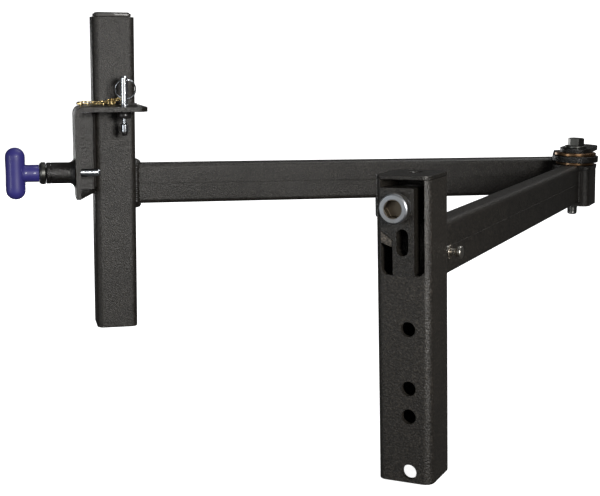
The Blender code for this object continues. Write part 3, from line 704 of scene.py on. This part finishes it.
def t_handle():
    """The grip's crossbar, slightly waisted in the middle and domed at its ends, and its flared stem."""
    place = SWING @ Matrix.Translation(Vector((HANDLE_X, 0, PLUNGER_Z)) * MM)
    half, radius, dome, steps = 31.0, 11.6, 11.0, 8
    profile = [(0, half)]
    for step in range(1, steps + 1):
        turn = math.pi / 2 * step / steps
        profile.append((radius * math.sin(turn), half - dome * (1 - math.cos(turn))))
    profile += [(11.62, 16.0), (11.5, 11.0), (11.35, 6.0), (11.3, 2.0)]
    profile += [(reach, -height) for reach, height in reversed(profile)]
    mesh = turned(profile, 40, "t_handle_grip")
    made = piece("t_handle_grip", mesh, GRIP, "plunger", place)
    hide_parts("t_handle")
    stem_place = on_x(SWING, (0, 0, PLUNGER_Z))
    stem = [
        (5.1, 703.9),
        (9.9, 703.9),
        (10.3, 704.4),
        (10.3, 712.0),
        (10.25, 717.0),
        (10.5, 720.0),
        (11.2, 723.0),
        (5.1, 725.5),
    ]
    made = piece("grip_stem", turned(stem, 36), GRIP, "plunger", stem_place)
    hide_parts("handle_stem")


t_handle()

# ---------------------------------------------------------------- plunger spring


def plunger_spring():
    """The coil spring in the housing, from its seat to the gland."""
    seat_end, gland_end = SPRING_ENDS
    coil, wire, turns, steps_per_turn = 6.2, 0.7, 6, 20
    count = turns * steps_per_turn
    points = []
    for step in range(count + 1):
        turn = 2 * math.pi * step / steps_per_turn
        along = seat_end + (gland_end - seat_end) * step / count
        points.append(Vector((along, coil * math.cos(turn), PLUNGER_Z + coil * math.sin(turn))) * MM)
    mesh = swept(points, wire * MM, 8, False, "spring_coil")
    bent_piece("spring_coil", mesh, SPRING_STEEL, "plunger_spring")


plunger_spring()

# ---------------------------------------------------------------- clamp screw's knurl and bolt's thread


def knurled_head():
    """The band of fine teeth round the clamp screw's head."""
    place = on_x(PIVOT, CLAMP_FACE)
    shape = bmesh.new()
    teeth, low, high, radius, depth, inner = 56, 3.4, 9.6, 13.0, 0.30, 12.7
    run_out, narrow = 0.7, 0.985
    rows = []
    for height, scale in ((low, narrow), (low + run_out, 1.0), (high - run_out, 1.0), (high, narrow)):
        row = []
        for step in range(teeth * 2):
            turn = math.pi * step / teeth
            reach = radius * scale + (depth if step % 2 else 0.0)
            spot = Vector((reach * math.cos(turn), reach * math.sin(turn), height))
            row.append(shape.verts.new(spot * MM))
        rows.append(row)
    for first, second in zip(rows, rows[1:]):
        for step in range(teeth * 2):
            following = (step + 1) % (teeth * 2)
            shape.faces.new((first[step], first[following], second[following], second[step]))
    shape.faces.new(list(reversed(rows[0])))
    shape.faces.new(rows[-1])
    mesh = closed_mesh(shape, "knurl")
    made = piece("clamp_bolt_knurl", mesh, ZINC_WARM, "base", place, smooth=False)
    past = 2 * high
    bore = turned([(0, past), (inner, past), (inner, 0), (0, 0)], 40, "bore")
    cutter = add("bore", bore, place, smooth=False)
    change = made.modifiers.new("bore", "BOOLEAN")
    change.operation = "DIFFERENCE"
    change.object = cutter
    graph = bpy.context.evaluated_depsgraph_get()
    result = bpy.data.meshes.new_from_object(made.evaluated_get(graph))
    made.modifiers.clear()
    made.data = result
    bpy.data.objects.remove(cutter)


knurled_head()


def bolt_thread():
    """The ridge of the thread at the pivot bolt's lower end."""
    radius, start, end, pitch, steps_per_turn = 6.05, -41.2, -30.5, 1.9, 20
    count = int((end - start) / pitch * steps_per_turn)
    points = []
    for step in range(count + 1):
        turn = 2 * math.pi * step / steps_per_turn
        height = start + (end - start) * step / count
        points.append(Vector((radius * math.cos(turn), radius * math.sin(turn), height)) * MM)
    piece("pivot_bolt_thread", swept(points, pitch * 0.36 * MM, 5), ZINC, "base", HINGE)


bolt_thread()

# ---------------------------------------------------------------- stage, light and camera


def stage():
    """A pale sweep: floor, a wide curve and a wall, facing the camera."""
    view = Vector((0.882001, 0.441081, 0)).normalized()
    across = Vector((-view.y, view.x, 0))
    floor_z = -0.0755
    bend, bend_start, reach, wall_top, steps = 1.6, 2.2, 40.0, 14.0, 12
    profile = [(-reach, 0.0), (bend_start, 0.0)]
    for step in range(1, steps + 1):
        turn = math.pi / 2 * step / steps
        profile.append((bend_start + bend * math.sin(turn), bend * (1 - math.cos(turn))))
    profile.append((bend_start + bend, wall_top))
    shape = bmesh.new()
    rows = []
    for along, up in profile:
        spot = view * along + Vector((0.3, 0.3, floor_z + up))
        rows.append([shape.verts.new(spot + across * side) for side in (-reach, reach)])
    for first, second in zip(rows, rows[1:]):
        shape.faces.new((first[0], first[1], second[1], second[0]))
    n = Nodes("studio_paper")
    base = n.mix(n.noise(1.5, 2.0), (0.90, 0.90, 0.90), (0.94, 0.94, 0.935))
    paper = n.bump(n.noise(300.0), 0.02, 0.0003)
    glow = {"Emission_Color": (1.0, 1.0, 1.0), "Emission_Strength": 0.95}
    look = n.set(Base_Color=base, Roughness=0.9, Normal=paper, **glow)
    look.cycles.emission_sampling = "NONE"
    made = add("studio_sweep", closed_mesh(shape, "studio_sweep"), look=look)
    made.visible_glossy = False
    made.visible_diffuse = False


def area_light(name, place, target, size, power, tint=(1, 1, 1), spread=180):
    """A rectangular light at place that faces target. spread is in degrees."""
    data = bpy.data.lights.new(name, "AREA")
    data.shape = "RECTANGLE"
    data.size, data.size_y = size
    data.energy = power
    data.color = tint
    data.spread = math.radians(spread)
    made = bpy.data.objects.new(name, data)
    bpy.context.scene.collection.objects.link(made)
    made.location = place
    made.rotation_euler = (Vector(target) - Vector(place)).to_track_quat("-Z", "Y").to_euler()


stage()
area_light("key", (-0.82, -0.92, 0.42), (0.05, 0.58, 0.12), (0.42, 0.34), 4.8, (1.0, 0.985, 0.96), 75)
area_light("front_fill", (-1.6, 0.3, 0.4), (0.1, 0.35, 0.1), (0.9, 0.7), 2.2)
area_light("left_fill", (-1.1, 1.0, 0.2), (0.2, 0.45, 0.15), (0.35, 0.5), 4.0, (0.95, 0.98, 1.0))
area_light("overhead", (0.2, 0.4, 2.4), (0.2, 0.3, 0.0), (2.4, 2.4), 2.5)
area_light("rear_fill", (2.0, 1.9, 0.1), (0.3, 0.3, 0.1), (0.8, 0.6), 6.0)
area_light("backdrop", (2.0, -0.6, 2.6), (3.4, 1.9, 0.4), (3.0, 1.4), 70.0)

world = bpy.data.worlds.new("studio_world")
bpy.context.scene.world = world
world.use_nodes = True
world.node_tree.nodes["Background"].inputs["Color"].default_value = (1.0, 1.0, 1.0, 1.0)
world.node_tree.nodes["Background"].inputs["Strength"].default_value = 0.06
bpy.context.scene.view_settings.view_transform = "Standard"

camera_data = bpy.data.cameras.new("camera")
camera_data.lens = 68.51
camera_data.sensor_width = 36.0
camera_data.clip_start = 0.01
camera = bpy.data.objects.new("camera", camera_data)
bpy.context.scene.collection.objects.link(camera)
camera.matrix_world = Matrix(
    (
        (0.443478, 0.159380, -0.882001, -0.9281),
        (-0.895954, 0.052092, -0.441081, -0.3283),
        (-0.024354, 0.985842, 0.165899, 0.3036),
        (0, 0, 0, 1),
    )
)
bpy.context.scene.camera = camera
